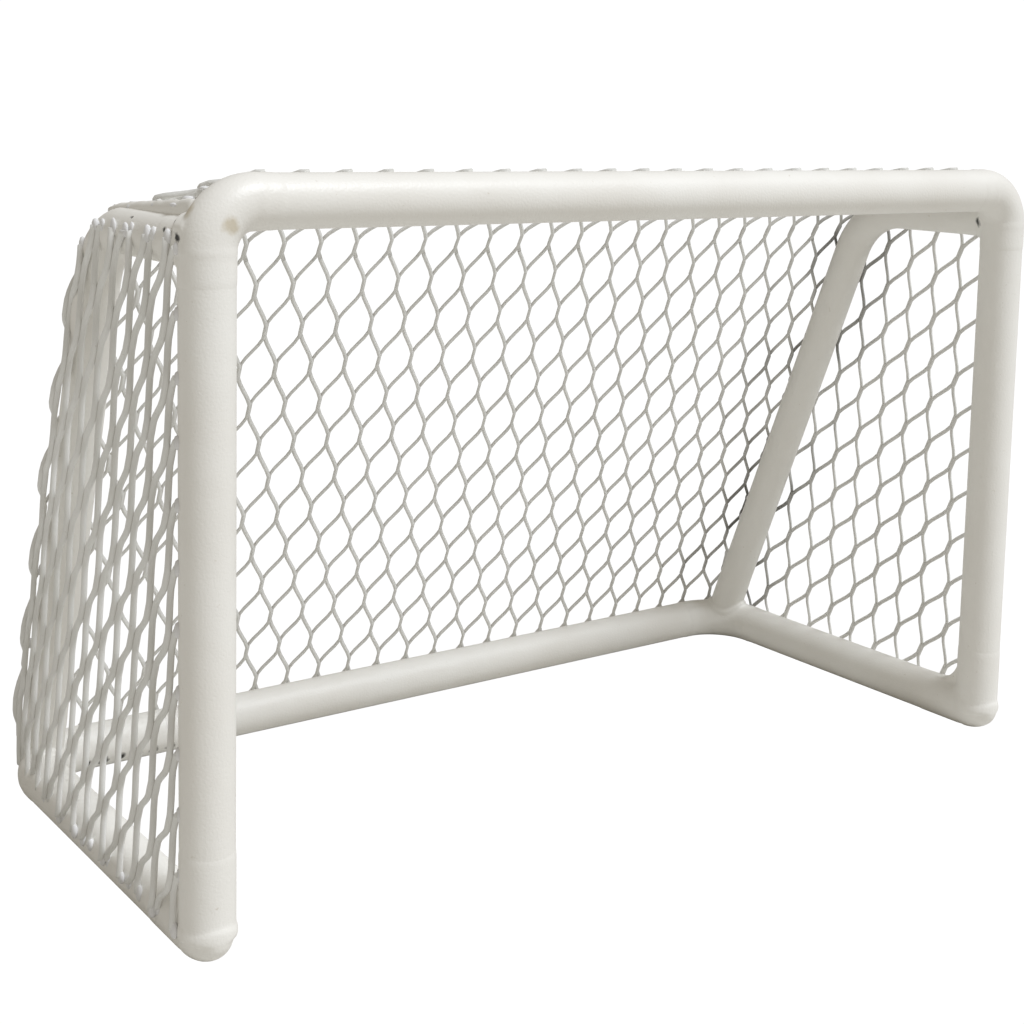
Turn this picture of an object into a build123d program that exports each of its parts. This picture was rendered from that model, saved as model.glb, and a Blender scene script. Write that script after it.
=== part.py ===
from build123d import *
import os
from math import acos, atan2, cos, hypot, pi, sin, tan

# A small ice hockey goal: a welded frame of round steel tube with rigid expanded-metal mesh.
# Millimetres. X runs along the crossbar, Y from the mouth to the back, Z up from the floor.
# While it is modelled, y = 0 is the line of the two posts. finish() moves the middle of its
# depth to the origin.

# Frame tubes
TUBE_OD = 38.0
TUBE_WALL = 2.0
BRACE_OD = 33.7
POST_X = 400.0  # centre line of each post
BAR_Z = 514.0  # centre line of the crossbar
DEPTH = 360.0  # posts to rear rail, centre to centre
ELBOW_R = 32.0  # centre-line radius of the top elbows
CORNER_R = 50.0  # centre-line radius of the rear floor corners
CAP_FRONT = 20.0  # how far the domed front end of a floor rail stands before the post's centre
CAP_LENGTH = 28.0

# Braces: a level top run, one bend, and a straight leg down to the rear corner
BRACE_Z = 487.0
BRACE_BEND_R = 65.0
BRACE_VERTEX_Y = 168.0
BRACE_FOOT = (391.0, 342.0, 30.0)

# Expanded metal: diamonds 3 in long, strands joined side by side at the bonds
SWD = 33.3  # across the short way of a diamond
LWD = 76.2  # along the long way
STRAND = 3.66
BOND = 12.7
SHEET = 3.4
RIM = 3.0  # width of the closed strip along each panel's edge
FIRST_U = 24.0  # where one diamond's centre lies, across and up the back panel
FIRST_V = 55.5
SHEET_GAP = 0.15  # coating between tube and mesh
MESH_LOW_Z = 13.0
SIDE_FRONT_Y = 5.0
SIDE_TOP_Z = 491.0
TOP_DROP = 1.2  # how far the top sheet's plane cuts below the crossbar's top
TOP_STOP = 6.4  # where that sheet ends on the tube, behind the crossbar's top

# Weld beads
BEAD = 3.0
SEAM_WIDTH = 6.0
SEAM_HEIGHT = 0.35
WELD_INSET = 0.7  # welds under the side mesh stop this far inside the tubes' outer faces
GUSSET_SIZE = 26.0
GUSSET_THICK = 12.0

TUBE_R = TUBE_OD / 2
BRACE_R = BRACE_OD / 2
BASE_Z = TUBE_R
BRACE_X = POST_X + TUBE_R - BRACE_R
RAIL_START = CAP_LENGTH - CAP_FRONT
SIDES = {"left": -1, "right": 1}
BIG = 2000.0

# The bend of a brace seen from the side: its centre, and the leg's lean from upright
LEG_LEAN = atan2(BRACE_FOOT[1] - BRACE_VERTEX_Y, BRACE_Z - BRACE_FOOT[2])
ROLL_Y = BRACE_VERTEX_Y - BRACE_BEND_R * tan((pi / 2 - LEG_LEAN) / 2)
ROLL_Z = BRACE_Z - BRACE_BEND_R

# The mesh lies outside three rounds: rear rail, brace bend and crossbar
SKIN = SHEET_GAP + SHEET / 2
ROLL_R = BRACE_BEND_R + BRACE_R + SKIN
RAIL_R = TUBE_R + SKIN


def tangent_angles(y, z, radius):
    """Angles from +Y of the two lines' normals that touch the roll and a round at y, z."""
    along = atan2(z - ROLL_Z, y - ROLL_Y)
    opening = acos((ROLL_R - radius) / hypot(y - ROLL_Y, z - ROLL_Z))
    return along - opening, along + opening


BACK_ANGLE = tangent_angles(DEPTH, BASE_Z, RAIL_R)[1]
TOP_ANGLE = tangent_angles(0, BAR_Z, RAIL_R - TOP_DROP)[0]
NORMAL = Vector(0, cos(BACK_ANGLE), sin(BACK_ANGLE))
UPHILL = Vector(0, -sin(BACK_ANGLE), cos(BACK_ANGLE))
ROLL = Vector(0, ROLL_Y, ROLL_Z)
FOOT_LINE = Vector(0, DEPTH, BASE_Z) + NORMAL * RAIL_R
V_ROLL = (ROLL + NORMAL * ROLL_R - FOOT_LINE).dot(UPHILL)
V_LOW = (MESH_LOW_Z - FOOT_LINE.Z) / UPHILL.Z
V_TOP_FLAT = V_ROLL + ROLL_R * (TOP_ANGLE - BACK_ANGLE)
TOP_REACH = Vector(0, -ROLL_Y, BAR_Z - ROLL_Z).dot(Vector(0, -sin(TOP_ANGLE), cos(TOP_ANGLE)))
V_TOP = V_TOP_FLAT + TOP_REACH - TOP_STOP
WRAP_R = BRACE_R + SKIN
SIDE_X = POST_X + TUBE_R + SKIN
FLAT_U = SIDE_X - WRAP_R
BACK_REACH = (FOOT_LINE + UPHILL * V_LOW + NORMAL * (SHEET / 2)).Y
FRONT_REACH = TUBE_R + BEAD / 2
MIDDLE_Y = (BACK_REACH - FRONT_REACH) / 2


def finish(shape):
    return Pos(0, -MIDDLE_Y, 0) * shape


def rod(start, end, radius):
    """A solid round bar between two points."""
    start = Vector(*start)
    run = Vector(*end) - start
    return extrude(Plane(start, z_dir=run) * Circle(radius), run.length)


def tube(start, end, od=TUBE_OD, wall=TUBE_WALL):
    """A straight tube between two points."""
    start = Vector(*start)
    run = Vector(*end) - start
    ring = Circle(od / 2) - Circle(od / 2 - wall)
    return extrude(Plane(start, z_dir=run) * ring, run.length)


def bend(centre, start, axis, angle, section):
    """A section turned about an axis through the bend's centre."""
    centre = Vector(*centre)
    start = Vector(*start)
    axis = Vector(*axis)
    tangent = axis.cross(start - centre)
    profile = Plane(start, x_dir=axis, z_dir=tangent) * section
    return revolve(profile, Axis(centre, axis), angle)


def top_elbow(side, section):
    centre = (side * (POST_X - ELBOW_R), 0, BAR_Z - ELBOW_R)
    start = (side * POST_X, 0, BAR_Z - ELBOW_R)
    return bend(centre, start, (0, -side, 0), 90, section)


def floor_corner(side, section):
    centre = (side * (POST_X - CORNER_R), DEPTH - CORNER_R, BASE_Z)
    start = (side * POST_X, DEPTH - CORNER_R, BASE_Z)
    return bend(centre, start, (0, 0, side), 90, section)


def end_cap(side, grow=0):
    """Closed, long-domed front end of a floor rail."""
    quadrant = Pos(BIG / 2, BIG / 2) * Rectangle(BIG, BIG)
    dome = revolve(Ellipse(CAP_LENGTH + grow, TUBE_R + grow) & quadrant, Axis.X)
    return Plane((side * POST_X, RAIL_START, BASE_Z), x_dir=(0, -1, 0)) * dome


def floor_rail_core(side, grow=0):
    """Everything solid that a post or a brace lands on."""
    x = side * POST_X
    straight = rod((x, RAIL_START, BASE_Z), (x, DEPTH - CORNER_R, BASE_Z), TUBE_R + grow)
    return straight + end_cap(side, grow)


def post(side):
    x = side * POST_X
    pipe = tube((x, 0, BASE_Z), (x, 0, BAR_Z - ELBOW_R))
    return (pipe - floor_rail_core(side)).solids().sort_by(SortBy.VOLUME)[-1]


def brace_path(side):
    foot = (side * BRACE_FOOT[0], BRACE_FOOT[1], BRACE_FOOT[2])
    x = side * BRACE_X
    corners = [(x, 0, BRACE_Z), (x, BRACE_VERTEX_Y, BRACE_Z), foot]
    return FilletPolyline(*corners, radius=BRACE_BEND_R)


def brace_solid(side, section):
    path = brace_path(side)
    start = Plane(path @ 0, x_dir=(1, 0, 0), z_dir=path % 0)
    return sweep(start * section, path)


def front_core(side):
    """The post and elbow as one solid bar, for coping the brace."""
    x = side * POST_X
    return rod((x, 0, BASE_Z), (x, 0, BAR_Z - ELBOW_R), TUBE_R) + top_elbow(side, Circle(TUBE_R))


def brace(side):
    pipe = brace_solid(side, Circle(BRACE_R) - Circle(BRACE_R - TUBE_WALL))
    pipe = pipe - front_core(side) - floor_corner(side, Circle(TUBE_R)) - floor_rail_core(side)
    return pipe.solids().sort_by(SortBy.VOLUME)[-1]


def seam_bead(centre, direction):
    """A low weld bead round a butt joint between two frame tubes."""
    half = SEAM_WIDTH / 2
    crown = (TUBE_R + SEAM_HEIGHT, 0)
    outline = [
        Line((TUBE_R, -half), (TUBE_R, half)),
        ThreePointArc((TUBE_R, half), crown, (TUBE_R, -half)),
    ]
    profile = make_face(outline)
    ring = revolve(Plane.XZ * profile, Axis.Z)
    return Plane(Vector(*centre), z_dir=Vector(*direction)) * ring


def elbow_post_seam(side):
    """Open at the back, where the brace and its weld cover the joint."""
    x = side * POST_X
    ring = seam_bead((x, 0, BAR_Z - ELBOW_R), (0, 0, 1))
    behind = rod((side * BRACE_X, 0, BRACE_Z), (side * BRACE_X, POST_X, BRACE_Z), BRACE_R + BEAD)
    return (ring - behind).solids().sort_by(SortBy.VOLUME)[-1]


def elbow_bar_seam(side):
    """Ground away on top, where the mesh lies on the crossbar."""
    ring = seam_bead((side * (POST_X - ELBOW_R), 0, BAR_Z), (1, 0, 0))
    return (ring - top_sheet(0)).solids().sort_by(SortBy.VOLUME)[-1]


def mesh_room(side):
    """The room behind a side panel's front edge, which the foot weld leaves free."""
    x = side * (POST_X + TUBE_R - WELD_INSET + BIG / 2)
    y = SIDE_FRONT_Y - WELD_INSET + BIG / 2
    return Pos(x, y, 0) * Box(BIG, BIG, BIG)


def foot_weld(side):
    """Fillet bead where a post stands on its floor rail, above the rail's middle."""
    x = side * POST_X
    around_post = rod((x, 0, BASE_Z), (x, 0, TUBE_OD + BEAD), TUBE_R + BEAD / 2)
    bead = around_post & floor_rail_core(side, BEAD)
    bead = bead - rod((x, 0, 0), (x, 0, BAR_Z), TUBE_R) - floor_rail_core(side) - mesh_room(side)
    return bead.solids().sort_by(SortBy.VOLUME)[-1]


def foot_gusset(side):
    """Concave web in the corner behind a post."""
    x = side * POST_X
    y = TUBE_R - BEAD
    z = TUBE_OD - BEAD
    far_y = TUBE_R + GUSSET_SIZE
    far_z = TUBE_OD + GUSSET_SIZE
    outline = [
        Line((y, z), (far_y, z)),
        Line((far_y, z), (far_y, TUBE_OD)),
        RadiusArc((far_y, TUBE_OD), (TUBE_R, far_z), GUSSET_SIZE),
        Line((TUBE_R, far_z), (y, far_z)),
        Line((y, far_z), (y, z)),
    ]
    web = extrude(Plane.YZ * make_face(outline), GUSSET_THICK / 2, both=True)
    web = Pos(x, 0, 0) * web - rod((x, 0, 0), (x, 0, BAR_Z), TUBE_R)
    web = web - floor_rail_core(side) - foot_weld(side)
    return web.solids().sort_by(SortBy.VOLUME)[-1]


def brace_top_weld(side):
    x = side * BRACE_X
    around_brace = rod((x, 0, BRACE_Z), (x, POST_X, BRACE_Z), BRACE_R + BEAD)
    around_post = rod((side * POST_X, 0, 0), (side * POST_X, 0, BAR_Z), TUBE_R + BEAD)
    inside_mesh = Pos(0, 0, BRACE_Z) * Box(2 * (POST_X + TUBE_R - WELD_INSET), BIG, BIG)
    bead = around_brace & around_post & inside_mesh
    bead = bead - brace_solid(side, Circle(BRACE_R)) - front_core(side)
    return bead.solids().sort_by(SortBy.VOLUME)[-1]


def brace_foot_weld(side):
    around_brace = brace_solid(side, Circle(BRACE_R + BEAD))
    around_corner = floor_corner(side, Circle(TUBE_R + BEAD))
    bead = around_brace & around_corner
    bead = bead - brace_solid(side, Circle(BRACE_R)) - floor_corner(side, Circle(TUBE_R))
    bead = bead - floor_rail_core(side)
    return bead.solids().sort_by(SortBy.VOLUME)[-1]


def sheet_place(u, v):
    """The plane that lies on the mesh at u across and v up its unrolled sheet."""
    side = 1 if u >= 0 else -1
    across = Vector(1, 0, 0)
    past_wrap = abs(u) - FLAT_U
    if v > V_ROLL:
        turn = min((v - V_ROLL) / ROLL_R, TOP_ANGLE - BACK_ANGLE)
        angle = BACK_ANGLE + turn
        out = Vector(0, cos(angle), sin(angle))
        on = Vector(0, -sin(angle), cos(angle)) * (v - V_ROLL - turn * ROLL_R)
        return Plane(ROLL + out * ROLL_R + on + across * u, x_dir=across, z_dir=out)
    spot = FOOT_LINE + UPHILL * v
    if past_wrap <= 0:
        return Plane(spot + across * u, x_dir=across, z_dir=NORMAL)
    turn = min(past_wrap / WRAP_R, pi / 2)
    out = across * (side * sin(turn)) + NORMAL * cos(turn)
    along = across * (side * cos(turn)) - NORMAL * sin(turn)
    spot = spot + across * (side * FLAT_U) - NORMAL * WRAP_R + out * WRAP_R
    return Plane(spot + along * (past_wrap - turn * WRAP_R), x_dir=along, z_dir=out)


def diamonds(u_low, u_high, v_low, v_high):
    """One cutter for each diamond of the lattice whose centre is in this range."""
    side_u = SWD / 2 - STRAND
    tip_v = (LWD - BOND) / 2
    half = BOND / 2
    right = [(0, tip_v), (side_u, half), (side_u, -half), (0, -tip_v)]
    left = [(-side_u, -half), (-side_u, half)]
    cutter = extrude(make_face(Polyline(*right, *left, close=True)), 3 * SHEET, both=True)
    for row in range(int(v_low / LWD * 2) - 2, int(v_high / LWD * 2) + 3):
        v = FIRST_V + row * LWD / 2
        shift = SWD / 2 if row % 2 else 0
        for column in range(int(u_low / SWD) - 2, int(u_high / SWD) + 3):
            u = FIRST_U + shift + column * SWD
            if u_low <= u <= u_high and v_low <= v <= v_high:
                yield sheet_place(u, v) * cutter


def perforate(sheet, inner, cutters):
    """The sheet with its diamonds cut out, and a closed strip left along its edge."""
    opened = inner - list(cutters)
    return (opened + (sheet - inner)).solids().sort_by(SortBy.VOLUME)[-1]


def back_slab(inset):
    width = 2 * (FLAT_U - inset)
    height = V_ROLL - V_LOW - 2 * inset
    face = sheet_place(0, (V_ROLL + V_LOW) / 2) * Rectangle(width, height)
    return extrude(face, SHEET / 2, dir=NORMAL, both=True)


def back_mesh():
    cutters = diamonds(-FLAT_U - SWD / 2, FLAT_U + SWD / 2, V_LOW - LWD / 2, V_ROLL + LWD / 2)
    return perforate(back_slab(0), back_slab(RIM), cutters)


def side_trim(inset):
    """Outline of a side panel seen from the side."""
    low = MESH_LOW_Z + inset
    high = SIDE_TOP_Z - inset
    front = SIDE_FRONT_Y + inset
    behind = BACK_REACH + SHEET
    radius = high - ROLL_Z
    start = ROLL + NORMAL * radius - UPHILL * inset
    beyond = ROLL + NORMAL * (ROLL_R + SHEET) - UPHILL * inset
    crown = (ROLL_Y, high)
    half_way = (BACK_ANGLE + pi / 2) / 2
    shoulder = (ROLL_Y + radius * cos(half_way), ROLL_Z + radius * sin(half_way))
    outline = [
        Polyline((front, high), (front, low), (behind, low), (beyond.Y, beyond.Z)),
        Line((beyond.Y, beyond.Z), (start.Y, start.Z)),
        ThreePointArc((start.Y, start.Z), shoulder, crown),
        Line(crown, (front, high)),
    ]
    return extrude(Plane.YZ * make_face(outline), BIG, both=True)


def side_sheet(side, inset):
    """The flat side and its quarter turn round the brace, trimmed to the outline."""
    origin = Vector(side * FLAT_U, 0, 0) + FOOT_LINE + UPHILL * (V_ROLL / 2) - NORMAL * WRAP_R
    across = Plane(origin, x_dir=(side, 0, 0), z_dir=UPHILL * side)
    ring = Circle(WRAP_R + SHEET / 2) - Circle(WRAP_R - SHEET / 2)
    quarter = ring & Pos(BIG / 2 + inset, BIG / 2) * Rectangle(BIG, BIG)
    flat = Pos(WRAP_R, -DEPTH / 2) * Rectangle(SHEET, DEPTH)
    sheet = extrude(across * quarter, BIG, both=True) + extrude(across * flat, BIG, both=True)
    return sheet & side_trim(inset)


def side_mesh(side):
    wrap_end = FLAT_U + WRAP_R * pi / 2
    low, high = sorted((side * (FLAT_U - SWD / 2), side * (wrap_end + DEPTH + SWD)))
    cutters = diamonds(low, high, V_LOW - LWD, V_ROLL - 0.01)
    return perforate(side_sheet(side, 0), side_sheet(side, RIM), cutters)


def top_sheet(inset):
    """Rolled rear edge and flat run up to the crossbar."""
    first = BACK_ANGLE + inset / ROLL_R
    ring = Circle(ROLL_R + SHEET / 2) - Circle(ROLL_R - SHEET / 2)
    wedge = Polyline(
        (0, 0),
        (BIG * cos(first), BIG * sin(first)),
        (BIG * cos(TOP_ANGLE), BIG * sin(TOP_ANGLE)),
        close=True,
    )
    rolled = Pos(ROLL_Y, ROLL_Z) * (ring & make_face(wedge))
    straight = V_TOP - V_TOP_FLAT - inset
    level = Pos(ROLL_Y, ROLL_Z) * Rot(0, 0, TOP_ANGLE * 180 / pi)
    level = level * Pos(ROLL_R, straight / 2) * Rectangle(SHEET, straight)
    half = FLAT_U - inset
    return extrude(Plane.YZ * rolled, half, both=True) + extrude(Plane.YZ * level, half, both=True)


def top_mesh():
    cutters = diamonds(-FLAT_U - SWD / 2, FLAT_U + SWD / 2, V_ROLL - LWD / 2, V_TOP + LWD / 2)
    return perforate(top_sheet(0), top_sheet(RIM), cutters)


def paired(make, name, parts):
    for word, side in SIDES.items():
        parts[f"{word}_{name}"] = make(side)


def floor_rail(side):
    x = side * POST_X
    return tube((x, RAIL_START, BASE_Z), (x, DEPTH - CORNER_R, BASE_Z))


def build():
    ring = Circle(TUBE_R) - Circle(TUBE_R - TUBE_WALL)
    bar_x = POST_X - ELBOW_R
    rear_x = POST_X - CORNER_R
    parts = {
        "crossbar": tube((-bar_x, 0, BAR_Z), (bar_x, 0, BAR_Z)),
        "base_rear_rail": tube((-rear_x, DEPTH, BASE_Z), (rear_x, DEPTH, BASE_Z)),
        "back_mesh": back_mesh(),
        "top_mesh": top_mesh(),
    }
    paired(post, "post", parts)
    paired(lambda side: top_elbow(side, ring), "top_elbow", parts)
    paired(floor_rail, "base_rail", parts)
    paired(lambda side: floor_corner(side, ring), "base_corner", parts)
    paired(end_cap, "base_end_cap", parts)
    paired(brace, "brace", parts)
    paired(side_mesh, "side_mesh", parts)
    paired(foot_gusset, "foot_gusset", parts)
    paired(foot_weld, "post_foot_weld", parts)
    paired(brace_top_weld, "brace_top_weld", parts)
    paired(brace_foot_weld, "brace_foot_weld", parts)
    paired(elbow_post_seam, "elbow_post_seam", parts)
    paired(elbow_bar_seam, "elbow_bar_seam", parts)
    return parts


os.makedirs("parts", exist_ok=True)
for node, shape in build().items():
    export_step(finish(shape), f"parts/{node}.step")
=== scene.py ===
from math import acos, atan2, cos, hypot, pi, radians, sin, tan
from random import Random

import bmesh
import bpy
import numpy as np
from mathutils import Matrix, Vector


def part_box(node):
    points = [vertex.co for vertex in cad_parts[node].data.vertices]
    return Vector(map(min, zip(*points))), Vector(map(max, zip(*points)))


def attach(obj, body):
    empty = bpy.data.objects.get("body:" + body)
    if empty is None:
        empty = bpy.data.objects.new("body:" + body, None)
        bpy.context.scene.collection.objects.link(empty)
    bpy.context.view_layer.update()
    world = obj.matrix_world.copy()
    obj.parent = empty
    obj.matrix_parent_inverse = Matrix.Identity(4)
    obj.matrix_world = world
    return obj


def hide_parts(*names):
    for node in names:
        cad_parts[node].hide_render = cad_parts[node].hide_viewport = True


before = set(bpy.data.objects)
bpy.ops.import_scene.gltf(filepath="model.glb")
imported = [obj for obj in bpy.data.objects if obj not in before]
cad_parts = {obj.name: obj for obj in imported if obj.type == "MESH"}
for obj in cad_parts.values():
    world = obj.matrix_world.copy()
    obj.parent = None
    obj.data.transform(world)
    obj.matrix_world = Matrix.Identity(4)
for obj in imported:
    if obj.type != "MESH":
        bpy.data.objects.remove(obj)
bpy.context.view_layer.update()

# A small hockey goal: welded round tube and rigid expanded metal under one off-white coating.
# Metres, in the frame of the CAD: X along the crossbar, Y from the mouth to the back, Z up.

# ---------------------------------------------------------------- sizes of the real goal
TUBE_R = 0.019
BRACE_R = 0.01685
POST_X = 0.400
BAR_Z = 0.514
DEPTH = 0.360
ELBOW_R = 0.032
CORNER_R = 0.050
BRACE_Z = 0.487
BRACE_BEND_R = 0.065
BRACE_VERTEX_Y = 0.168
BRACE_FOOT_X = 0.391
BRACE_FOOT_Y = 0.342
BRACE_FOOT_Z = 0.030
SHEET_OFFSET = 0.00185  # from a tube's skin to the middle of the mesh
MESH_LOW_Z = 0.013
SIDE_FRONT_Y = 0.005
SIDE_TOP_Z = 0.491
SIDE_SHOULDER = radians(58)  # where the side sheet's top corner is cut off, round the brace's bend
TOP_DROP = 0.0012  # the top sheet's plane cuts this far below the crossbar's top
TOP_STOP = 0.0064  # and the sheet ends this far behind it, on the tube

# Raised expanded metal, 1-1/2 in #9: diamonds 3 in long, each strand sheared and stretched
SWD = 0.0333
LWD = 0.0762
STRAND_WIDTH = 0.0046
STRAND_THICK = 0.0027
BOND = 0.0127
FIRST_U = 0.0240
FIRST_V = 0.0555
STEPS_PER_DIAMOND = 12
BOND_SHARE = 0.47  # of a strand's width from its middle to the bond, just less than half
EDGE_ROUNDING = 0.34  # of a strand's thickness, left by the dip on its corners
UNEVENNESS = 0.0007  # how far the coating pushes a strand about
# Each panel was cut from the sheet its own way round, so its strands lean to their own side
LEAN = {"back": radians(50), "top": radians(50), "left": radians(48), "right": radians(-38)}
EDGE_DROOP_U = 0.365  # from here out the top sheet bends down to the brace
EDGE_DROOP = 0.018
FOLD_IN = 0.010  # how far the brace leans in at its foot, and the fold of the mesh with it
FOLD_HEIGHT = 0.30
FOLD_DEPTH = 0.14
FOLD_PRESS = 0.0015  # how far the strands sink in the coating of the brace
FOLD_FADE = 0.03
PRESS_RUN = 0.080  # how far up the back the low corners start to bend in to the rail
SIDE_LOW_Z = 0.024  # the side strands run out on the floor rail's outer face
CORNER_TRIM_Y = 0.335  # and stop short of the rounded corner behind it
TACK_R = 0.0036  # blob of coating over a tack weld
TACK_SINK = 0.0015
TACK_SHAPE = (0.9, 1.5, 0.6)  # across, along and out of the tube
FILLET_WIDTH = 0.0042  # coating in the wedge beside the top sheet, half its width
FILLET_CROWN = 0.0022
FILLET_STEPS = 28
FILLET_SIDES = 16

POST_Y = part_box("left_post")[0].y + TUBE_R


# ---------------------------------------------------------------- colours and materials
def linear(hex_colour):
    """An sRGB hex value as a linear RGBA colour."""
    out = []
    for i in (0, 2, 4):
        c = int(hex_colour[i : i + 2], 16) / 255
        out.append(c / 12.92 if c <= 0.04045 else ((c + 0.055) / 1.055) ** 2.4)
    return (*out, 1.0)


def add(tree, kind, settings=None, values=None, links=None):
    """A node with its settings, its input values and its links from sockets or from nodes, where
    a node stands for its first output."""
    node = tree.nodes.new(kind)
    for name, value in (settings or {}).items():
        setattr(node, name, value)
    for key, value in (values or {}).items():
        node.inputs[key].default_value = value
    for key, source in (links or {}).items():
        socket = source.outputs[0] if isinstance(source, bpy.types.Node) else source
        tree.links.new(socket, node.inputs[key])
    return node


RAGGED = 0.006  # how far the grain moves a spot's rim


def spots_mask(tree, where, spots):
    """1 in small spots about these points, 0 elsewhere. A 6 mm grain makes their rims ragged."""
    vector = "ShaderNodeVectorMath"
    grain = {"Scale": 160.0, "Detail": 2.0}
    ragged = add(tree, "ShaderNodeTexNoise", values=grain, links={"Vector": where})
    colour = ragged.outputs["Color"]
    shove = add(tree, vector, {"operation": "SCALE"}, {"Scale": RAGGED}, {0: colour})
    moved = add(tree, vector, {"operation": "ADD"}, links={0: where, 1: shove.outputs[0]})
    middle = Vector((RAGGED, RAGGED, RAGGED)) / 2 + Vector((0, POST_Y, 0))
    mask = None
    for x, y, z, radius in spots:
        centre = Vector((x, y, z)) + middle
        away = add(tree, vector, {"operation": "DISTANCE"}, {1: centre}, {0: moved.outputs[0]})
        near = {"From Min": radius / 2, "From Max": radius, "To Min": 1.0, "To Max": 0.0}
        one = add(tree, "ShaderNodeMapRange", values=near, links={"Value": away.outputs["Value"]})
        if mask is not None:
            links = {0: mask, 1: one.outputs[0]}
            one = add(tree, "ShaderNodeMath", {"operation": "MAXIMUM"}, links=links)
        mask = one.outputs[0]
    return mask


# Each mark is x, y from the posts, z and a radius. These are bare steel in holes of the coating,
HOLES = (
    (-0.416, 0.014, 0.500, 0.0030),
    (-0.418, 0.004, 0.492, 0.0042),
    (-0.417, 0.028, 0.495, 0.0028),
    (-0.415, 0.090, 0.500, 0.0026),
    (0.384, 0.015, 0.484, 0.0052),
    (0.383, 0.008, 0.498, 0.0030),
)
# painted shadow in a row of dark spots under the left end of the rear rail, where the strands end,
RAIL_SHADOW_STEP = 0.0153
RAIL_SHADOW_SPOTS = tuple((-0.351 + RAIL_SHADOW_STEP * k, 0.3425, 0.0095, 0.0052) for k in range(6))
# and rust that bled through the coating.
BLEEDS = ((-0.392, -0.016, 0.500, 0.0080), (-0.409, 0.002, 0.507, 0.0070))
BACK_SLOPE = 0.38  # of the back sheet, Y for each Z


def painted_shadow_by_the_brace(tree, where, colour):
    """Painted shadow on the strands by the right brace, where the mesh folds round it: dark grey in
    patches.
    """
    math = "ShaderNodeMath"
    remap = "ShaderNodeMapRange"
    apart = add(tree, "ShaderNodeSeparateXYZ", links={"Vector": where}).outputs
    leaning = {0: apart["Z"], 2: apart["Y"]}
    depth = add(tree, math, {"operation": "MULTIPLY_ADD"}, {1: BACK_SLOPE}, leaning)
    across = {"From Min": 0.300, "From Max": 0.400}
    back = {"From Min": 0.29 + POST_Y, "From Max": 0.35 + POST_Y}
    near_x = add(tree, remap, values=across, links={"Value": apart["X"]})
    near_y = add(tree, remap, values=back, links={"Value": depth.outputs[0]})
    links = {0: near_x.outputs[0], 1: near_y.outputs[0]}
    both = add(tree, math, {"operation": "MULTIPLY"}, links=links)
    # patches of about 70 mm
    cloud = {"Scale": 14.0, "Detail": 2.0}
    patches = add(tree, "ShaderNodeTexNoise", values=cloud, links={"Vector": where})
    patch = {"From Min": 0.40, "From Max": 0.58, "To Min": 0.15, "To Max": 0.9}
    some = add(tree, remap, values=patch, links={"Value": patches.outputs["Fac"]})
    links = {0: both.outputs[0], 1: some.outputs[0]}
    amount = add(tree, math, {"operation": "MULTIPLY"}, links=links)
    links = {0: amount.outputs[0], 6: colour.outputs[2]}
    # the painted shadow's dark grey, mixed in over the mask
    return add(tree, "ShaderNodeMix", {"data_type": "RGBA"}, {7: linear("5A5954")}, links)


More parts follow.
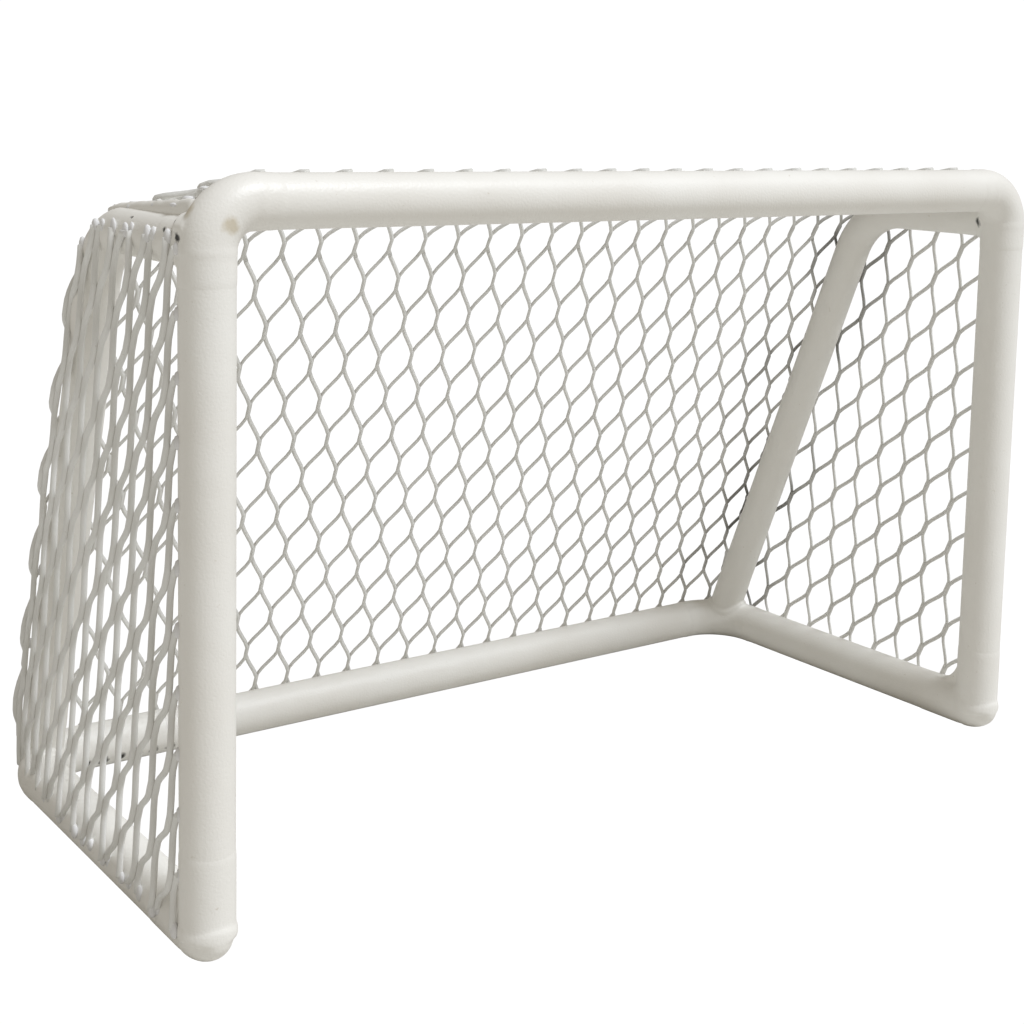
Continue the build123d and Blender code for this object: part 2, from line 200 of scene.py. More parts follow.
def dipped_coating(name, light, shade, dust_and_shade_colour, worn_with_rail_shadow):
    """Off-white vinyl dip over steel: satin, slightly uneven, with specks of dust, and painted
    shade in its hollows.

    The dip gives soft highlights and rounds every edge. It is thicker where it ran down, which
    is a slow waviness of about 45 mm. Its skin has an orange peel of about 2 mm, its specks of
    dust stand 4 mm apart, and its yellowing comes in clouds of about 110 mm. A worn coating has
    holes, rust and a row of painted shadow under the rear rail; one that isn't worn gets painted
    shadow on the strands by the right brace, in patches.
    """
    material = bpy.data.materials.new(name)
    material.use_nodes = True
    tree = material.node_tree
    tree.nodes.clear()
    place = add(tree, "ShaderNodeTexCoord")
    objects = place.outputs["Object"]
    noise = "ShaderNodeTexNoise"
    runs = add(tree, noise, values={"Scale": 22.0, "Detail": 2.0}, links={"Vector": objects})
    skin = add(tree, noise, values={"Scale": 520.0, "Detail": 1.0}, links={"Vector": objects})
    cloud = add(tree, noise, values={"Scale": 9.0, "Detail": 4.0}, links={"Vector": objects})
    specks = add(tree, noise, values={"Scale": 240.0, "Detail": 2.0}, links={"Vector": objects})
    tint = add(tree, "ShaderNodeValToRGB", links={"Fac": cloud.outputs["Fac"]})
    tint.color_ramp.elements[0].position = 0.35
    tint.color_ramp.elements[0].color = linear(shade)
    tint.color_ramp.elements[1].position = 0.65
    tint.color_ramp.elements[1].color = linear(light)
    dots = add(
        tree,
        "ShaderNodeMapRange",
        values={"From Min": 0.72, "From Max": 0.80, "To Min": 0.0, "To Max": 0.35},
        links={"Value": specks.outputs["Fac"]},
    )
    # painted shade: the coating darkens towards the dust colour in hollows, within 10 mm of other
    # surfaces, where shade falls
    hollow = add(
        tree,
        "ShaderNodeAmbientOcclusion",
        {"samples": 4, "only_local": True},
        {"Distance": 0.010},
    )
    painted_hollow_shade = add(
        tree,
        "ShaderNodeMapRange",
        values={"From Min": 0.25, "From Max": 0.75, "To Min": 0.35, "To Max": 0.0},
        links={"Value": hollow.outputs["AO"]},
    )
    # specks of dust, and painted shade in hollows, mixed in with one colour
    dust_and_hollow_shade = add(
        tree,
        "ShaderNodeMath",
        {"operation": "MAXIMUM"},
        links={0: dots.outputs["Result"], 1: painted_hollow_shade.outputs["Result"]},
    )
    colour = add(
        tree,
        "ShaderNodeMix",
        {"data_type": "RGBA"},
        {7: linear(dust_and_shade_colour)},
        {0: dust_and_hollow_shade.outputs["Value"], 6: tint.outputs["Color"]},
    )
    if worn_with_rail_shadow:
        # the dark 2B2A26 is bare steel in the holes and painted contact shadow in the row of spots
        # under the rear rail
        for marks, paint, strength in ((BLEEDS, "BFB08F", 0.6), (HOLES + RAIL_SHADOW_SPOTS, "2B2A26", 1.0)):
            mask = spots_mask(tree, objects, marks)
            times = {"operation": "MULTIPLY"}
            amount = add(tree, "ShaderNodeMath", times, {1: strength}, {0: mask})
            colour = add(
                tree,
                "ShaderNodeMix",
                {"data_type": "RGBA"},
                {7: linear(paint)},
                {0: amount.outputs[0], 6: colour.outputs[2]},
            )
    else:
        # painted shadow on the strands by the right brace
        colour = painted_shadow_by_the_brace(tree, objects, colour)
    rough = add(
        tree,
        "ShaderNodeMapRange",
        values={"From Min": 0.3, "From Max": 0.7, "To Min": 0.38, "To Max": 0.52},
        links={"Value": cloud.outputs["Fac"]},
    )
    wave = add(
        tree,
        "ShaderNodeBump",
        values={"Strength": 1.0, "Distance": 0.0007},
        links={"Height": runs.outputs["Fac"]},
    )
    peeled = add(
        tree,
        "ShaderNodeBump",
        values={"Strength": 1.0, "Distance": 0.00018},
        links={"Height": skin.outputs["Fac"], "Normal": wave.outputs["Normal"]},
    )
    shader = add(
        tree,
        "ShaderNodeBsdfPrincipled",
        values={"IOR": 1.5, "Metallic": 0.0},
        links={
            "Base Color": colour.outputs[2],
            "Roughness": rough.outputs["Result"],
            "Normal": peeled.outputs["Normal"],
        },
    )
    add(tree, "ShaderNodeOutputMaterial", links={"Surface": shader.outputs["BSDF"]})
    return material


# The third colour is that of the dust specks and of the painted shade in hollows.
tube_finish = dipped_coating("vinyl_dip_on_tube", "F3F2ED", "EEECE6", "BDB29C", True)
mesh_finish = dipped_coating("vinyl_dip_on_expanded_metal", "EAEAE7", "E2E2DE", "B0AB9E", False)

# ---------------------------------------------------------------- the camera
CAMERA_TURN = 35.727
CAMERA_PITCH = 6.651
CAMERA_ROLL = 1.199
CAMERA_SPOT = (-0.8596, -0.9768, 0.5740)
CAMERA_LENS = 58.07
CAMERA_SHIFT_Y = -0.20


def make_camera():
    data = bpy.data.cameras.new("camera")
    data.sensor_width = 36.0
    data.lens = CAMERA_LENS
    data.shift_y = CAMERA_SHIFT_Y
    turn, pitch, roll = (radians(a) for a in (CAMERA_TURN, CAMERA_PITCH, CAMERA_ROLL))
    ahead = Vector((sin(turn) * cos(pitch), cos(turn) * cos(pitch), -sin(pitch)))
    right = Vector((cos(turn), -sin(turn), 0.0))
    up = right.cross(ahead)
    right, up = right * cos(roll) + up * sin(roll), up * cos(roll) - right * sin(roll)
    axes = Matrix((right, up, -ahead)).transposed()
    camera = bpy.data.objects.new("camera", data)
    spot = Vector(CAMERA_SPOT) + Vector((0, POST_Y, 0))
    camera.matrix_world = Matrix.Translation(spot) @ axes.to_4x4()
    bpy.context.scene.collection.objects.link(camera)
    bpy.context.scene.camera = camera


make_camera()


# ---------------------------------------------------------------- floor, sky and lamps
def white_to_the_eye(tree, unlit, output):
    """Pure white to the eye. The shader for all other light goes in the socket it returns."""
    seen = add(tree, "ShaderNodeLightPath")
    white = add(tree, unlit, values={"Color": (1, 1, 1, 1), "Strength": 1.05})
    links = {0: seen.outputs["Is Camera Ray"], 2: white.outputs[0]}
    both = add(tree, "ShaderNodeMixShader", links=links)
    add(tree, output, links={"Surface": both.outputs[0]})
    return both.inputs[1]


def make_floor():
    """A white floor that shows no shadow and throws slightly warm light back up."""
    mesh = bpy.data.meshes.new("studio_floor")
    floor = bpy.data.objects.new("studio_floor", mesh)
    half = 30.0
    corners = [(-half, -half, 0), (half, -half, 0), (half, half, 0), (-half, half, 0)]
    mesh.from_pydata(corners, [], [(0, 1, 2, 3)])
    bpy.context.scene.collection.objects.link(floor)
    material = bpy.data.materials.new("white_studio_floor")
    material.use_nodes = True
    tree = material.node_tree
    tree.nodes.clear()
    bounce = white_to_the_eye(tree, "ShaderNodeEmission", "ShaderNodeOutputMaterial")
    pale = add(tree, "ShaderNodeBsdfDiffuse", values={"Color": linear("D6D4CF")})
    tree.links.new(pale.outputs[0], bounce)
    mesh.materials.append(material)


def make_sky():
    """Soft, slightly warm light all round."""
    world = bpy.data.worlds.new("studio")
    bpy.context.scene.world = world
    world.use_nodes = True
    tree = world.node_tree
    tree.nodes.clear()
    glow = white_to_the_eye(tree, "ShaderNodeBackground", "ShaderNodeOutputWorld")
    soft = add(tree, "ShaderNodeBackground", values={"Color": linear("FFF8EC"), "Strength": 0.37})
    tree.links.new(soft.outputs[0], glow)


def make_sun(name, from_where, softness, strength, colour):
    """A large soft lamp so far off that it lights the floor evenly."""
    data = bpy.data.lights.new(name, "SUN")
    data.angle = radians(softness)
    data.energy = strength
    data.color = linear(colour)[:3]
    lamp = bpy.data.objects.new(name, data)
    lamp.rotation_euler = Vector(from_where).to_track_quat("Z", "Y").to_euler()
    bpy.context.scene.collection.objects.link(lamp)


make_floor()
make_sky()
make_sun("key", (0.290, -0.475, 0.831), 20.0, 2.5, "F4F8FF")
bpy.context.scene.view_settings.view_transform = "Standard"


# ---------------------------------------------------------------- where the mesh lies
LEG_LEAN = atan2(BRACE_FOOT_Y - BRACE_VERTEX_Y, BRACE_Z - BRACE_FOOT_Z)
ROLL_Y = BRACE_VERTEX_Y - BRACE_BEND_R * tan((pi / 2 - LEG_LEAN) / 2)
ROLL_Z = BRACE_Z - BRACE_BEND_R
ROLL_R = BRACE_BEND_R + BRACE_R + SHEET_OFFSET
RAIL_R = TUBE_R + SHEET_OFFSET
WRAP_R = BRACE_R + SHEET_OFFSET


def tangent_angles(y, z, radius):
    """Angles from +Y of the two lines' normals that touch the roll and a round at y, z."""
    along = atan2(z - ROLL_Z, y - ROLL_Y)
    opening = acos((ROLL_R - radius) / hypot(y - ROLL_Y, z - ROLL_Z))
    return along - opening, along + opening


BACK_ANGLE = tangent_angles(DEPTH, TUBE_R, RAIL_R)[1]
TOP_ANGLE = tangent_angles(0, BAR_Z, RAIL_R - TOP_DROP)[0]
NORMAL = Vector((0, cos(BACK_ANGLE), sin(BACK_ANGLE)))
UPHILL = Vector((0, -sin(BACK_ANGLE), cos(BACK_ANGLE)))
ROLL = Vector((0, ROLL_Y, ROLL_Z))
FOOT_LINE = Vector((0, DEPTH, TUBE_R)) + NORMAL * RAIL_R
V_ROLL = (ROLL + NORMAL * ROLL_R - FOOT_LINE).dot(UPHILL)
V_LOW = (MESH_LOW_Z - FOOT_LINE.z) / UPHILL.z
V_TOP_FLAT = V_ROLL + ROLL_R * (TOP_ANGLE - BACK_ANGLE)
TOP_RUN = Vector((0, -sin(TOP_ANGLE), cos(TOP_ANGLE)))
V_TOP = V_TOP_FLAT + (Vector((0, 0, BAR_Z)) - ROLL).dot(TOP_RUN) - TOP_STOP
FLAT_U = POST_X + TUBE_R + SHEET_OFFSET - WRAP_R


def on_sheet(points):
    """Folds flat points (across, along, out) round the frame, as the sheet was folded."""
    u, v, h = points.T
    side = np.where(u < 0, -1.0, 1.0)
    over = np.clip((v - V_ROLL) / ROLL_R, 0, TOP_ANGLE - BACK_ANGLE)
    past = np.abs(u) - FLAT_U
    round_it = past > 1e-6
    over = np.where(round_it, 0, over)
    angle = BACK_ANGLE + over
    straight = v - V_ROLL - over * ROLL_R
    # the top sheet's corners are pressed down on the elbows
    beyond = np.clip(np.abs(u) - POST_X + ELBOW_R, 0, ELBOW_R + TUBE_R)
    ahead = np.where(round_it, 0, np.clip((v - V_TOP_FLAT) / (V_TOP - V_TOP_FLAT), 0, 1))
    droop = (ELBOW_R + TUBE_R - np.sqrt((ELBOW_R + TUBE_R) ** 2 - beyond**2)) * ahead**2
    edge = np.clip((np.abs(u) - EDGE_DROOP_U) / (FLAT_U - EDGE_DROOP_U), 0, 1)
    droop = np.maximum(droop, EDGE_DROOP * ahead * edge**2)
    y = ROLL.y + (ROLL_R + h) * np.cos(angle) - straight * np.sin(angle)
    z = ROLL.z + (ROLL_R + h) * np.sin(angle) + straight * np.cos(angle) - droop
    x = u.copy()
    turn = np.clip(past / WRAP_R, 0, pi / 2)
    rest = np.maximum(past - turn * WRAP_R, 0)
    # at the floor the fold follows the brace inwards, and the strands are pressed down on it
    low = np.clip(1 - v / FOLD_HEIGHT, 0, 1) * np.clip(1 - rest / FOLD_DEPTH, 0, 1)
    pressed = h - FOLD_PRESS * np.clip(1 - rest / FOLD_FADE, 0, 1) * np.sin(turn)
    inward = WRAP_R - (WRAP_R + pressed) * np.cos(turn) + rest + h
    out = FLAT_U + (WRAP_R + pressed - FOLD_IN * low) * np.sin(turn)
    # the low corners are pressed in on the floor rail's bends
    reach = CORNER_R + TUBE_R
    bend = np.clip(np.minimum(np.abs(u), FLAT_U) - POST_X + CORNER_R, 0, reach)
    floor = np.clip(1 - (v - V_LOW) / PRESS_RUN, 0, 1) ** 1.5 * np.clip(1 - rest / FOLD_DEPTH, 0, 1)
    y -= (reach - np.sqrt(reach**2 - bend**2)) * floor
    x = np.where(round_it, side * out, x)
    y = np.where(round_it, y - inward * NORMAL.y, y)
    z = np.where(round_it, z - inward * NORMAL.z, z)
    return np.stack([x, y + POST_Y, z], axis=1)


# ---------------------------------------------------------------- expanded metal
def expanded_metal_tree():
    """Zigzag strands side by side. Each is one sheared strand that touches its neighbours at
    the bonds; its section leans, and it rises at one bond and dips at the next."""
    tree = bpy.data.node_groups.new("expanded_metal", "GeometryNodeTree")
    sockets = tree.interface
    sockets.new_socket("Geometry", in_out="INPUT", socket_type="NodeSocketGeometry")
    for name, kind in (
        ("Strands", "NodeSocketInt"),
        ("Steps", "NodeSocketInt"),
        ("Step", "NodeSocketFloat"),
        ("Diamond Across", "NodeSocketFloat"),
        ("Diamond Long", "NodeSocketFloat"),
        ("Bond", "NodeSocketFloat"),
        ("Strand Width", "NodeSocketFloat"),
        ("Strand Thick", "NodeSocketFloat"),
        ("Tilt", "NodeSocketFloat"),
        ("Unevenness", "NodeSocketFloat"),
        ("Seed", "NodeSocketFloat"),
        ("Material", "NodeSocketMaterial"),
    ):
        sockets.new_socket(name, in_out="INPUT", socket_type=kind)
    sockets.new_socket("Geometry", in_out="OUTPUT", socket_type="NodeSocketGeometry")
    given = add(tree, "NodeGroupInput").outputs

    # how far the strand is towards one bond (1) or the next (-1)
    math = "ShaderNodeMath"
    times = {"operation": "MULTIPLY"}
    divide = {"operation": "DIVIDE"}
    minus = {"operation": "SUBTRACT"}
    cosine = {"operation": "COSINE"}
    sine = {"operation": "SINE"}
    index = add(tree, "GeometryNodeInputIndex")
    along = add(tree, math, times, links={0: index, 1: given["Step"]})
    diamonds = add(tree, math, divide, links={0: along, 1: given["Diamond Long"]})
    phase = add(tree, math, times, {1: 2 * pi}, {0: diamonds})
    bond_share = add(tree, math, divide, links={0: given["Bond"], 1: given["Diamond Long"]})
    flat_share = add(tree, math, times, {1: pi}, {0: bond_share})
    flat_cosine = add(tree, math, cosine, links={0: flat_share})
    steep = add(tree, math, divide, {0: 1.0}, {1: flat_cosine})
    phase_cosine = add(tree, math, cosine, links={0: phase})
    steeper = add(tree, math, times, links={0: phase_cosine, 1: steep})
    capped = add(tree, math, {"operation": "MINIMUM"}, {1: 1.0}, {0: steeper})
    swing = add(tree, math, {"operation": "MAXIMUM"}, {1: -1.0}, {0: capped})
    # half of the strand's room at a bond, and how far the lean lifts it there
    tilt_cosine = add(tree, math, cosine, links={0: given["Tilt"]})
    flat_part = add(tree, math, times, {1: BOND_SHARE}, {0: tilt_cosine})
    half_bond = add(tree, math, times, links={0: given["Strand Width"], 1: flat_part})
    tilt_sine = add(tree, math, sine, links={0: given["Tilt"]})
    raised_part = add(tree, math, times, {1: BOND_SHARE}, {0: tilt_sine})
    lift = add(tree, math, times, links={0: given["Strand Width"], 1: raised_part})
    middle = add(tree, math, times, {1: 0.25}, {0: given["Diamond Across"]})
    reach = add(tree, math, minus, links={0: middle, 1: half_bond})
    aside = add(tree, math, times, links={0: swing, 1: reach})
    across = add(tree, math, minus, links={0: middle, 1: aside})
    up = add(tree, math, times, links={0: swing, 1: lift})

    still = {"Offset": (0, 0, 0)}
    line = add(tree, "GeometryNodeMeshLine", values=still, links={"Count": given["Steps"]})
    spot = add(tree, "ShaderNodeCombineXYZ", links={"X": across, "Y": along, "Z": up})
    path = add(tree, "GeometryNodeSetPosition", links={"Geometry": line, "Position": spot})
    curve = add(tree, "GeometryNodeMeshToCurve", links={"Mesh": path})
    level = add(tree, "GeometryNodeSetCurveNormal", {"mode": "Z_UP"}, links={"Curve": curve})
    turned = add(tree, math, times, {1: -1.0}, {0: given["Tilt"]})
    leaning = add(tree, "GeometryNodeSetCurveTilt", links={"Curve": level, "Tilt": turned})
    section = add(
        tree,
        "GeometryNodeCurvePrimitiveQuadrilateral",
        links={"Width": given["Strand Width"], "Height": given["Strand Thick"]},
    )
    corner = add(tree, math, times, {1: EDGE_ROUNDING}, {0: given["Strand Thick"]})
    rounded = add(
        tree,
        "GeometryNodeFilletCurve",
        {"mode": "POLY"},
        {"Count": 1},
        {"Curve": section, "Radius": corner},
    )
    bar = add(
        tree,
        "GeometryNodeCurveToMesh",
        values={"Fill Caps": True},
        links={"Curve": leaning, "Profile Curve": rounded},
    )

    # one strand in every half diamond, each second one half a diamond further along
    row = add(tree, "GeometryNodeMeshLine", values=still, links={"Count": given["Strands"]})
    half_across = add(tree, math, times, {1: 0.5}, {0: given["Diamond Across"]})
    shift_across = add(tree, math, times, links={0: index, 1: half_across})
    odd = add(tree, math, {"operation": "MODULO"}, {1: 2.0}, {0: index})
    half_long = add(tree, math, times, {1: 0.5}, {0: given["Diamond Long"]})
    shift_along = add(tree, math, times, links={0: odd, 1: half_long})
    start = add(tree, "ShaderNodeCombineXYZ", links={"X": shift_across, "Y": shift_along})
    places = add(tree, "GeometryNodeSetPosition", links={"Geometry": row, "Position": start})
    spread = add(
        tree,
        "GeometryNodeInstanceOnPoints",
        links={"Points": places.outputs[0], "Instance": bar.outputs[0]},
    )
    real = add(tree, "GeometryNodeRealizeInstances", links={"Geometry": spread.outputs[0]})
    spot = add(tree, "GeometryNodeInputPosition")
    wobble = add(
        tree,
        "ShaderNodeTexNoise",
        {"noise_dimensions": "4D"},
        {"Scale": 45.0, "Detail": 1.0},
        {"Vector": spot.outputs[0], "W": given["Seed"]},
    )
    centred = add(
        tree,
        "ShaderNodeVectorMath",
        {"operation": "SUBTRACT"},
        {1: (0.5, 0.5, 0.5)},
        {0: wobble.outputs["Color"]},
    )
    shove = add(
        tree,
        "ShaderNodeVectorMath",
        {"operation": "SCALE"},
        None,
        {0: centred.outputs[0], "Scale": given["Unevenness"]},
    )
    uneven = add(
        tree,
        "GeometryNodeSetPosition",
        links={"Geometry": real.outputs[0], "Offset": shove.outputs[0]},
    )
    coated = add(
        tree,
        "GeometryNodeSetMaterial",
        links={"Geometry": uneven.outputs[0], "Material": given["Material"]},
    )
    add(tree, "NodeGroupOutput", links={"Geometry": coated.outputs[0]})
    return tree


METAL_TREE = expanded_metal_tree()


def new_object(name, mesh):
    piece = bpy.data.objects.new(name, mesh)
    bpy.context.scene.collection.objects.link(piece)
    return piece


def flat_expanded_metal(u_low, u_high, v_low, v_high, panel):
    """A flat sheet of strands over this range, as points and faces, in step with the lattice."""
    first_strand = int(np.floor((u_low - FIRST_U) / (SWD / 2))) - 1
    strands = int(np.ceil((u_high - u_low) / (SWD / 2))) + 3
    first_diamond = int(np.floor((v_low - FIRST_V) / LWD)) - 1
    diamonds = int(np.ceil((v_high - v_low) / LWD)) + 3
    blank = new_object("blank", bpy.data.meshes.new("blank"))
    modifier = blank.modifiers.new("expanded_metal", "NODES")
    modifier.node_group = METAL_TREE
    inputs = [s for s in METAL_TREE.interface.items_tree if s.in_out == "INPUT"]
    keys = {s.name: s.identifier for s in inputs}
    values = {
        "Strands": strands,
        "Steps": diamonds * STEPS_PER_DIAMOND + 1,
        "Step": LWD / STEPS_PER_DIAMOND,
        "Diamond Across": SWD,
        "Diamond Long": LWD,
        "Bond": BOND,
        "Strand Width": STRAND_WIDTH,
        "Strand Thick": STRAND_THICK,
        "Tilt": LEAN[panel],
        "Unevenness": UNEVENNESS,
        "Seed": 1.0,
        "Material": mesh_finish,
    }
    for name, value in values.items():
        modifier[keys[name]] = value
    graph = bpy.context.evaluated_depsgraph_get()
    mesh = bpy.data.meshes.new_from_object(blank.evaluated_get(graph))
    bpy.data.objects.remove(blank)
    odd = first_strand % 2
    bond_u = FIRST_U + first_strand * SWD / 2
    bond_v = FIRST_V + LWD / 2 + first_diamond * LWD - odd * LWD / 2
    mesh.transform(Matrix.Translation((bond_u, bond_v, 0)))
    return mesh


def cut(mesh, point, normal):
    """Trims a mesh of closed bars to one side of a plane, closes the ends, says where they are."""
    bars = bmesh.new()
    bars.from_mesh(mesh)
    everything = bars.verts[:] + bars.edges[:] + bars.faces[:]
    result = bmesh.ops.bisect_plane(
        bars, geom=everything, plane_co=point, plane_no=normal, clear_outer=True, dist=1e-7
    )
    rim = [e for e in result["geom_cut"] if isinstance(e, bmesh.types.BMEdge)]
    caps = bmesh.ops.holes_fill(bars, edges=rim, sides=0)["faces"]
    ends = [cap.calc_center_median() for cap in caps]
    bars.to_mesh(mesh)
    bars.free()
    return ends


def add_tacks(mesh, spots, out, seed):
    """A low uneven blob of coating over each tack weld, flat against its tube."""
    chance = Random(seed)
    turn = out.to_track_quat("Z", "Y").to_matrix().to_4x4()
    bars = bmesh.new()
    bars.from_mesh(mesh)
    for spot in spots:
        size = [TACK_R * share * chance.uniform(0.8, 1.3) for share in TACK_SHAPE]
        shape = Matrix.Diagonal((*size, 1.0))
        place = Matrix.Translation(spot - out * TACK_SINK) @ turn @ shape
        bmesh.ops.create_icosphere(bars, subdivisions=2, radius=1.0, matrix=place)
    bars.to_mesh(mesh)
    bars.free()


def folded(ends, v_low, v_high):
    """Where these flat ends lie on the folded sheet, without those that were trimmed off later."""
    slack = SHEET_OFFSET
    kept = [e for e in ends if abs(e.x) < FLAT_U + slack]
    kept = [e for e in kept if v_low - slack < e.y < v_high + slack]
    flat = np.array([(min(max(e.x, -FLAT_U), FLAT_U), e.y, e.z) for e in kept])
    return [Vector(spot) for spot in on_sheet(flat)]


def fold(mesh):
    count = len(mesh.vertices)
    flat = np.zeros(count * 3)
    mesh.vertices.foreach_get("co", flat)
    mesh.vertices.foreach_set("co", on_sheet(flat.reshape(-1, 3)).ravel())
    mesh.update()


def finish_mesh(name, mesh, node):
    for polygon in mesh.polygons:
        polygon.use_smooth = len(polygon.vertices) < 5
    mesh.name = name
    piece = new_object(name, mesh)
    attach(piece, "root")
    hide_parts(node)


def make_back_mesh():
    mesh = flat_expanded_metal(-FLAT_U, FLAT_U, V_LOW, V_ROLL, "back")
    ends = cut(mesh, (-FLAT_U, 0, 0), (-1, 0, 0))
    ends += cut(mesh, (FLAT_U, 0, 0), (1, 0, 0))
    ends += cut(mesh, (0, V_LOW, 0), (0, -1, 0))
    cut(mesh, (0, V_ROLL, 0), (0, 1, 0))
    fold(mesh)
    add_tacks(mesh, folded(ends, V_LOW, V_ROLL), NORMAL, 1)
    finish_mesh("back_expanded_metal", mesh, "back_mesh")


def make_top_mesh():
    mesh = flat_expanded_metal(-FLAT_U, FLAT_U, V_ROLL, V_TOP, "top")
    cut(mesh, (0, V_ROLL, 0), (0, -1, 0))
    cut(mesh, (0, V_TOP, 0), (0, 1, 0))
    ends = []
    for side in (-1, 1):
        ends += cut(mesh, (side * FLAT_U, 0, 0), (side, 0, 0))
        ends += cut(mesh, (side * (POST_X - ELBOW_R / 2), V_TOP, 0), (side, 0.5, 0))
    fold(mesh)
    add_tacks(mesh, folded(ends, V_ROLL, V_TOP), Vector((0, 0, 1)), 2)
    finish_mesh("top_expanded_metal", mesh, "top_mesh")


def make_side_mesh(word, side):
    wide = FLAT_U + WRAP_R * pi / 2 + DEPTH
    spare = 0.16  # the sheet is cut square on the slanted back's line, so it starts longer
    low, high = sorted((side * FLAT_U, side * wide))
    mesh = flat_expanded_metal(low, high, V_LOW - spare, V_ROLL + spare, word)
    cut(mesh, (side * FLAT_U, 0, 0), (-side, 0, 0))
    fold(mesh)
    top_r = SIDE_TOP_Z - ROLL_Z
    centre = ROLL + Vector((0, POST_Y, 0))
    lean = Vector((0, cos(SIDE_SHOULDER), sin(SIDE_SHOULDER)))
    ends = []
    planes = (
        (Vector((0, 0, SIDE_LOW_Z)), Vector((0, 0, -1))),
        (Vector((0, 0, SIDE_TOP_Z)), Vector((0, 0, 1))),
        (Vector((0, POST_Y + SIDE_FRONT_Y, 0)), Vector((0, -1, 0))),
        (centre + lean * top_r, lean),
        (Vector((0, POST_Y + CORNER_TRIM_Y, SIDE_LOW_Z)), Vector((0, 0.5, -0.87))),
    )
    for point, normal in planes:
        ends += cut(mesh, point, normal)
    ends = [end for end in ends if all((end - p).dot(n) < SHEET_OFFSET for p, n in planes)]
    add_tacks(mesh, ends, Vector((side, 0, 0)), 3)
    finish_mesh(word + "_side_expanded_metal", mesh, word + "_side_mesh")


def skin_rings(bars, rings):
    """Faces between rings of points, and one over each end ring."""
    for low, high in zip(rings, rings[1:]):
        for k, spot in enumerate(low):
            n = (k + 1) % len(low)
            bars.faces.new((spot, low[n], high[n], high[k]))
    bars.faces.new(rings[0][::-1])
    bars.faces.new(rings[-1])


def make_edge_fillet(word, side):
    """Coating that filled the wedge between the top sheet's edge and the brace below it."""
    v = np.linspace(V_TOP_FLAT - 0.012, V_TOP - 0.004, FILLET_STEPS)
    top = on_sheet(np.stack([np.full_like(v, side * FLAT_U), v, np.zeros_like(v)], axis=1))
    base = BRACE_Z + BRACE_R - 0.006  # inside the brace
    chance = Random(7 + side)
    bars = bmesh.new()
    rings = []
    for x, y, edge_z in top:
        crown = edge_z + FILLET_CROWN + chance.uniform(-0.0005, 0.0005)
        wide = FILLET_WIDTH * chance.uniform(0.92, 1.08)
        ring = []
        for k in range(FILLET_SIDES):
            a = 2 * pi * k / FILLET_SIDES
            z = (crown + base) / 2 + (crown - base) / 2 * sin(a)
            ring.append(bars.verts.new((x - side * 0.001 + wide * cos(a), y, z)))
        rings.append(ring)
    skin_rings(bars, rings)
    bmesh.ops.recalc_face_normals(bars, faces=bars.faces[:])
    mesh = bpy.data.meshes.new(word + "_edge_fillet")
    bars.to_mesh(mesh)
    bars.free()
    mesh.materials.append(tube_finish)
    mesh.polygons.foreach_set("use_smooth", [len(p.vertices) == 4 for p in mesh.polygons])
    piece = new_object(word + "_edge_fillet", mesh)
    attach(piece, "root")


make_back_mesh()
make_top_mesh()
make_edge_fillet("left", -1)
make_edge_fillet("right", 1)
make_side_mesh("left", -1)
make_side_mesh("right", 1)

# ---------------------------------------------------------------- welded joints under the dip
SKIN_VOXEL = 0.0010
SKIN_STEPS = 24
SKIN_OFFSET = 0.00040  # the dip stands this much proud of the tubes, less what smoothing takes
STUB_TAPER = 0.010
STUB_SINK = 0.0012
STUB_SIDES = 48


def stub(bars, start, end, radius):
    """A solid round bar that thins at both ends, so that the skin over it sinks into its tube."""
    start, end = Vector(start), Vector(end)
    run = end - start
    turn = run.to_track_quat("Z", "Y")
    rings = []
    for along, thinner in (
        (0, STUB_SINK),
        (STUB_TAPER, 0),
        (run.length - STUB_TAPER, 0),
        (run.length, STUB_SINK),
    ):
        ring = []
        for k in range(STUB_SIDES):
            a = 2 * pi * k / STUB_SIDES
            spot = Vector((cos(a), sin(a), 0)) * (radius - thinner) + Vector((0, 0, along))
            ring.append(bars.verts.new(start + turn @ spot))
        rings.append(ring)
    skin_rings(bars, rings)


def joint_skin(name, nodes, stubs):
    """The nodes of one welded joint and the ends of its tubes, run together like a thick dip."""
    bars = bmesh.new()
    for node in nodes:
        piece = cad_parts[node]
        before = len(bars.verts)
        bars.from_mesh(piece.data)
        bars.verts.ensure_lookup_table()
        bmesh.ops.transform(bars, matrix=piece.matrix_world, verts=bars.verts[before:])
    for start, end, radius in stubs:
        stub(bars, start, end, radius)
    mesh = bpy.data.meshes.new(name)
    bars.to_mesh(mesh)
    bars.free()
    blank = new_object("blank", mesh)
    remesh = blank.modifiers.new("voxels", "REMESH")
    remesh.mode = "VOXEL"
    remesh.voxel_size = SKIN_VOXEL
    smooth = blank.modifiers.new("flow", "SMOOTH")
    smooth.factor = 0.5
    smooth.iterations = SKIN_STEPS
    swell = blank.modifiers.new("dip", "DISPLACE")
    swell.strength = SKIN_OFFSET
    swell.mid_level = 0.0
    graph = bpy.context.evaluated_depsgraph_get()
    skin = bpy.data.meshes.new_from_object(blank.evaluated_get(graph))
    bpy.data.objects.remove(blank)
    skin.materials.clear()
    skin.materials.append(tube_finish)
    skin.polygons.foreach_set("use_smooth", [True] * len(skin.polygons))
    skin.name = name
    piece = new_object(name, skin)
    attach(piece, "root")
    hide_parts(*nodes)


def at(x, y, z):
    return (x, y + POST_Y, z)


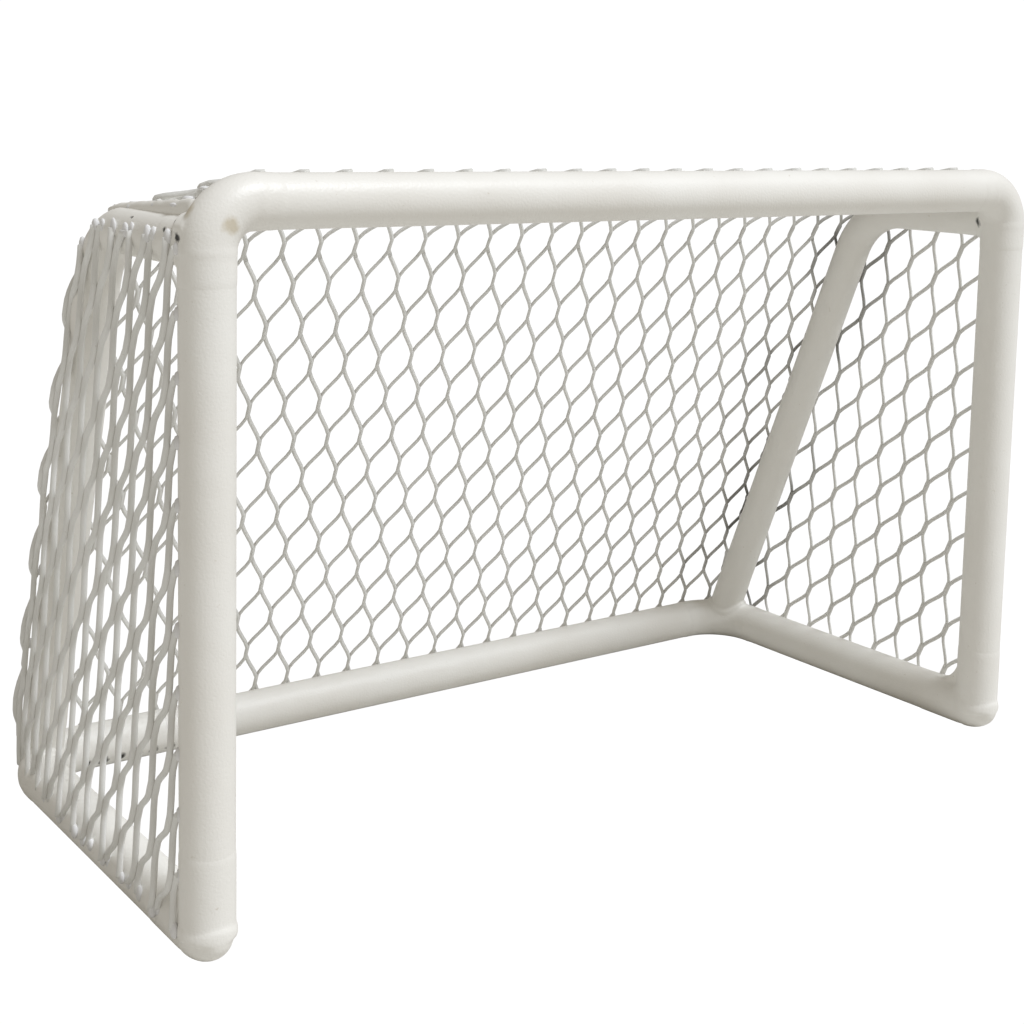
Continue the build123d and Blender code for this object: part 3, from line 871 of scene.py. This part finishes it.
# how far the skin of each joint runs out along its tubes
FOOT_UP = 0.086
FOOT_BACK = 0.068
ELBOW_DOWN = 0.452
ELBOW_ALONG = 0.024
ELBOW_LAP = 0.006
BRACE_RUN = 0.048
LEG_RUN = 0.050
CORNER_RUN = 0.016
CORNER_LAP = 0.014

for word, side in (("left", -1), ("right", 1)):
    x = side * POST_X
    brace_x = side * (POST_X + TUBE_R - BRACE_R)
    joint_skin(
        word + "_foot_joint",
        [word + tail for tail in ("_base_end_cap", "_post_foot_weld", "_foot_gusset")],
        [
            (at(x, 0, TUBE_R), at(x, 0, FOOT_UP), TUBE_R),
            (at(x, 0.004, TUBE_R), at(x, FOOT_BACK, TUBE_R), TUBE_R),
        ],
    )
    tails = ("_top_elbow", "_brace_top_weld", "_elbow_post_seam", "_elbow_bar_seam")
    bar_end = POST_X - ELBOW_R
    joint_skin(
        word + "_top_joint",
        [word + tail for tail in tails],
        [
            (at(x, 0, ELBOW_DOWN), at(x, 0, BAR_Z - ELBOW_R + ELBOW_LAP), TUBE_R),
            (
                at(side * (bar_end - ELBOW_ALONG), 0, BAR_Z),
                at(side * (bar_end + ELBOW_LAP), 0, BAR_Z),
                TUBE_R,
            ),
            (at(brace_x, 0, BRACE_Z), at(brace_x, BRACE_RUN, BRACE_Z), BRACE_R),
        ],
    )
    foot = Vector(at(side * BRACE_FOOT_X, BRACE_FOOT_Y, BRACE_FOOT_Z))
    vertex = Vector(at(brace_x, BRACE_VERTEX_Y, BRACE_Z))
    up_leg = (vertex - foot).normalized()
    side_end = DEPTH - CORNER_R
    rear_end = POST_X - CORNER_R
    joint_skin(
        word + "_rear_joint",
        [word + tail for tail in ("_base_corner", "_brace_foot_weld")],
        [
            (foot, foot + up_leg * LEG_RUN, BRACE_R),
            (
                at(x, side_end - CORNER_RUN, TUBE_R),
                at(x, side_end + CORNER_LAP, TUBE_R),
                TUBE_R,
            ),
            (
                at(side * (rear_end - CORNER_RUN), DEPTH, TUBE_R),
                at(side * (rear_end + CORNER_LAP), DEPTH, TUBE_R),
                TUBE_R,
            ),
        ],
    )

# ---------------------------------------------------------------- finishes on the CAD tubes
for node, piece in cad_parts.items():
    if node.endswith("_mesh"):
        continue
    for slot in piece.material_slots:
        slot.material = tube_finish
